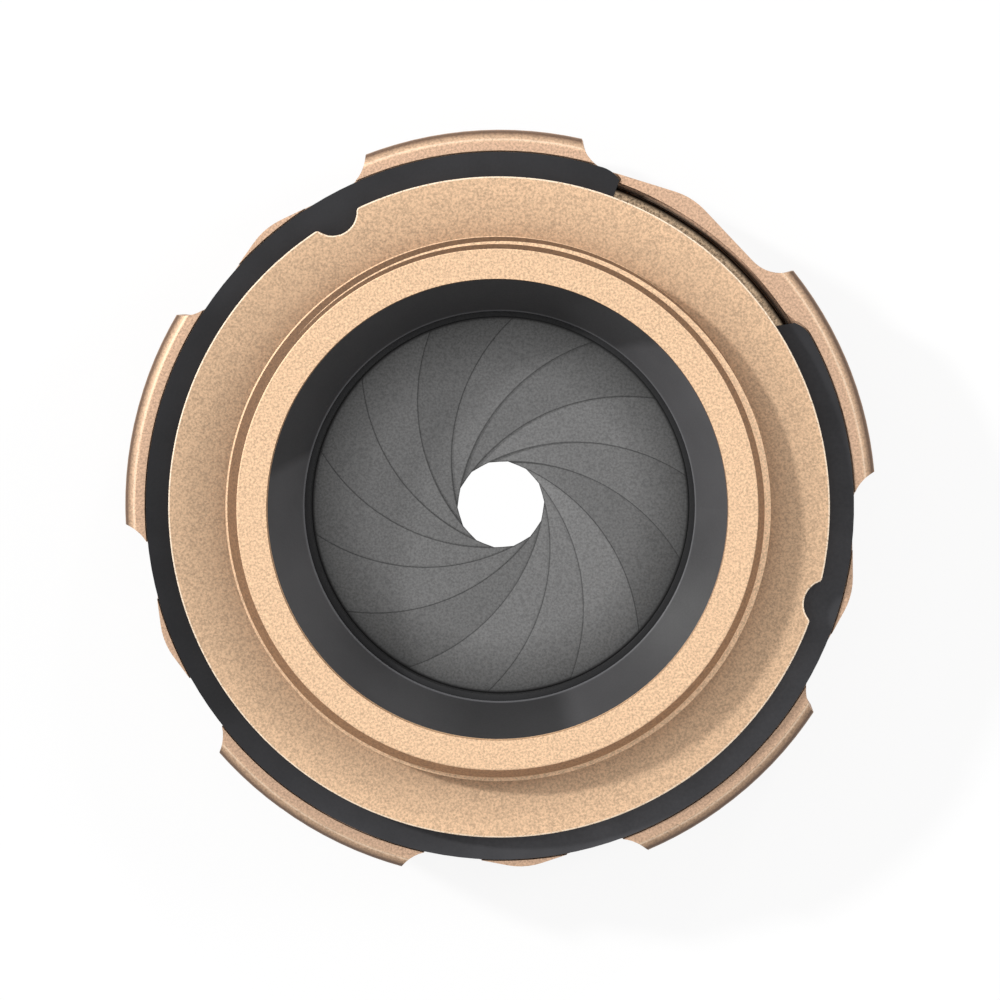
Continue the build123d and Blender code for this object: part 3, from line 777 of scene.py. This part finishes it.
def notch_cutter(bearing, depth):
    corners = notch_outline(bearing, depth)
    bpy.ops.object.select_all(action="DESELECT")
    bpy.ops.mesh.primitive_circle_add(vertices=len(corners), fill_type="NGON")
    cutter = bpy.context.object
    for vertex, corner in zip(cutter.data.vertices, corners):
        vertex.co = (corner.x * mm, corner.y * mm, (flange_rear - 1) * mm)
    edit(cutter, "FACE")
    pick_all()
    bpy.ops.mesh.extrude_region_move(TRANSFORM_OT_translate={"value": (0, 0, 4 * mm)})
    face_outwards()
    done()
    return cutter


print("outline of", len(notch_outline(0, notch_depths[0])), "corners")

# %% [markdown]
# The flange is a disc. The two prisms bite the notches out of its rim, and its front edge gets a
# fine chamfer, which catches the light. To find that edge, a helper asks every edge where its
# two ends lie. Then the middle of the disc is drilled out and the ring is joined to the collar.

# %% Notch, chamfer and join the flange
rim_chamfer = 0.08


def rod(name, radius, rear, front):
    bpy.ops.object.select_all(action="DESELECT")
    middle = (0, 0, (front + rear) / 2 * mm)
    bpy.ops.mesh.primitive_cylinder_add(vertices=smooth_steps, radius=radius * mm,
                                        depth=(front - rear) * mm, location=middle)
    piece = bpy.context.object
    piece.name = name
    bpy.ops.object.transform_apply(location=True)
    return piece


def select_edges(piece, wanted):
    """Selects, in edit mode, the edges whose two ends in millimetres satisfy wanted."""
    bpy.ops.mesh.select_all(action="DESELECT")
    done()
    count = 0
    for edge in piece.data.edges:
        first, last = (piece.data.vertices[index].co / mm for index in edge.vertices)
        edge.select = wanted(first, last)
        count += edge.select
    bpy.ops.object.mode_set(mode="EDIT")
    return count


flange = rod("flange", flange_radius, flange_rear, flange_front)
for bearing, depth in zip(notch_bearings, notch_depths):
    cut(flange, notch_cutter(bearing, depth))
edit(flange)
weld(0.01)
rim = select_edges(flange, lambda first, last: min(first.z, last.z) > flange_front - 0.01)
bpy.ops.mesh.bevel(offset=rim_chamfer * mm, segments=2, profile=0.5)
done()
print("flange rim edges", rim)
cut(flange, rod("bore", root_radius - 0.3, flange_rear - 1, flange_front + 1))
cut(cap, flange, "UNION")

# %% [markdown]
# A threading tool has a sixty degree tip. Here it is a plane, squeezed at its inner end to the
# narrow tip and left wide at the mouth.

# %% Grind the threading tool
runout_bearing, runout_level = 120, 13.50
tip_half, mouth_half, mouth_radius = 0.008, 0.365, crest_radius + 0.03
start_level = runout_level - thread_pitch * (runout_bearing / 360 + 2)
bpy.ops.object.select_all(action="DESELECT")
tool_middle = Vector(((root_radius + mouth_radius) / 2 * mm, 0, start_level * mm))
bpy.ops.mesh.primitive_plane_add(size=1 * mm, rotation=(math.pi / 2, 0, 0), location=tool_middle)
tool = bpy.context.object
tool.name = "threading_tool"
bpy.ops.object.transform_apply(location=True, rotation=True)
edit(tool)
pick_all()
full_size = (mouth_radius - root_radius, 1, 2 * mouth_half)
bpy.ops.transform.resize(value=full_size, center_override=tool_middle)
select_edges(tool, lambda first, last: max(first.x, last.x) < root_radius + 0.1)
bpy.ops.transform.resize(value=(1, 1, tip_half / mouth_half), center_override=tool_middle)
pick_all()
bpy.ops.mesh.delete(type="ONLY_FACE")
done()
print("tool starts at level", round(start_level, 3), "mm")

# %% [markdown]
# The path of the tool is a helix: the Screw modifier sweeps the tool's outline round the axis and
# raises it by one pitch a turn. The sweep starts in the relief groove above the flange and leaves
# through the chamfer, so the last crest thins out to nothing, and that gives the fine crescent of
# light beside the front face. Two caps close the sweep's ends before the cut.

# %% Cut the thread
sweep = tool.modifiers.new("helix", "SCREW")
sweep.axis = "Z"
sweep.angle = math.tau
sweep.screw_offset = thread_pitch * mm
sweep.iterations = 4
sweep.steps = smooth_steps
sweep.render_steps = smooth_steps
sweep.use_merge_vertices = False
bpy.ops.object.modifier_apply(modifier="helix")
edit(tool)
weld(0.0001)
bpy.ops.mesh.select_all(action="DESELECT")
bpy.ops.mesh.select_non_manifold(extend=False)
bpy.ops.mesh.edge_face_add()
face_outwards()
done()
print("tool", len(tool.data.vertices), "points")
cut(cap, tool)

# %% [markdown]
# A cut leaves tiny doubled points, so they are welded. Faces that meet at less than ten degrees
# are shaded smooth, and every real edge stays sharp. Then the cap takes the place of the plain one.

# %% Finish the cap
edit(cap)
weld(0.0005)
bpy.ops.mesh.normals_make_consistent(inside=False)
done()
bpy.ops.object.shade_smooth_by_angle(angle=math.radians(10))
cap.data.materials.clear()
cap.data.materials.append(cap_gold)
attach(cap, "fixed")
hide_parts("front_cap")
print("cap:", len(cap.data.polygons), "faces, size", [round(side / mm, 3) for side in cap.dimensions])

# %% [markdown]
# ## Studio
# A white table carries the iris, a hair below it. Whoever looks at the table, straight or in a
# mirror, sees it glow white, most of all through the opening. Farther out an eighth of the plain
# table shows through the glow, and that keeps the shadow of the iris.

# %% Floor
floor_level, floor_size = -0.02, 1.6
full_glow_radius, outer_glow_radius, outer_glow = 10.0, 24.0, 0.88
bpy.ops.object.select_all(action="DESELECT")
bpy.ops.mesh.primitive_plane_add(size=floor_size, location=(0, 0, floor_level * mm))
floor = bpy.context.object
floor.name = "studio_floor"
floor_material = bpy.data.materials.new("studio_white")
floor_material.use_nodes = True
tree = floor_material.node_tree
tree.nodes.clear()
out = add_node(tree, "ShaderNodeOutputMaterial")
plain = add_node(tree, "ShaderNodeBsdfDiffuse", {"Color": (0.9, 0.9, 0.9, 1)})
glow = add_node(tree, "ShaderNodeEmission", {"Color": (1, 1, 1, 1), "Strength": 1.0})
rays = add_node(tree, "ShaderNodeLightPath")
seen = math_node(tree, "MAXIMUM", rays.outputs["Is Camera Ray"], rays.outputs["Is Glossy Ray"])
seen = math_node(tree, "MAXIMUM", seen, rays.outputs["Is Transmission Ray"])
radius = use_group(tree, turned_place).outputs["Radius"]
glowing = fade(tree, radius, full_glow_radius, outer_glow_radius, 1.0, outer_glow)
blend = add_node(tree, "ShaderNodeMixShader")
join(tree, math_node(tree, "MULTIPLY", seen, glowing), blend, "Fac")
join(tree, plain.outputs[0], blend, 1)
join(tree, glow.outputs[0], blend, 2)
join(tree, blend.outputs[0], out, "Surface")
floor.data.materials.append(floor_material)
print("floor", round(floor.dimensions.x, 3), "m wide")

# %% [markdown]
# Three soft lamps stand far off, so that both ends of the iris get the same light: the main one
# at the left, a weak one behind, and a wide one at the right, like a window.

# %% Lamps
def soft_lamp(name, bearing, elevation, size, power):
    bearing, elevation = math.radians(bearing), math.radians(elevation)
    out_there = Vector((math.cos(bearing) * math.cos(elevation),
                        math.sin(bearing) * math.cos(elevation), math.sin(elevation)))
    bpy.ops.object.light_add(type="AREA", location=out_there * lamp_distance)
    lamp = bpy.context.object
    lamp.name = name
    lamp.data.shape = "DISK"
    lamp.data.size = size
    lamp.data.energy = power
    lamp.rotation_mode = "QUATERNION"
    lamp.rotation_quaternion = (-out_there).to_track_quat("-Z", "Y")


lamp_distance = 3.0
soft_lamp("lamp_left", 151, 36.4, 0.3, 70)
soft_lamp("lamp_back", 65, 34, 0.3, 9)
soft_lamp("window_right", 20, 32, 1.0, 22)
print("lamps ready")

# %% [markdown]
# The room gives the rest of the light: bright overhead and dimmer towards the horizon, so that
# rounded edges turn dark where they look sideways.

# %% Room
world = bpy.data.worlds.new("studio_room")
bpy.context.scene.world = world
world.use_nodes = True
tree = world.node_tree
tree.nodes.clear()
out = add_node(tree, "ShaderNodeOutputWorld")
room = add_node(tree, "ShaderNodeBackground", {"Strength": 1.0})
upwards = split_place(tree, "Generated")[2]
room_tones = [(0.0, (0.26, 0.26, 0.27)), (0.6, (0.42, 0.42, 0.43)), (1.0, (0.84, 0.84, 0.84))]
join(tree, tone_ramp(tree, upwards, room_tones), room, "Color")
join(tree, room.outputs[0], out, "Surface")
print("room ready")
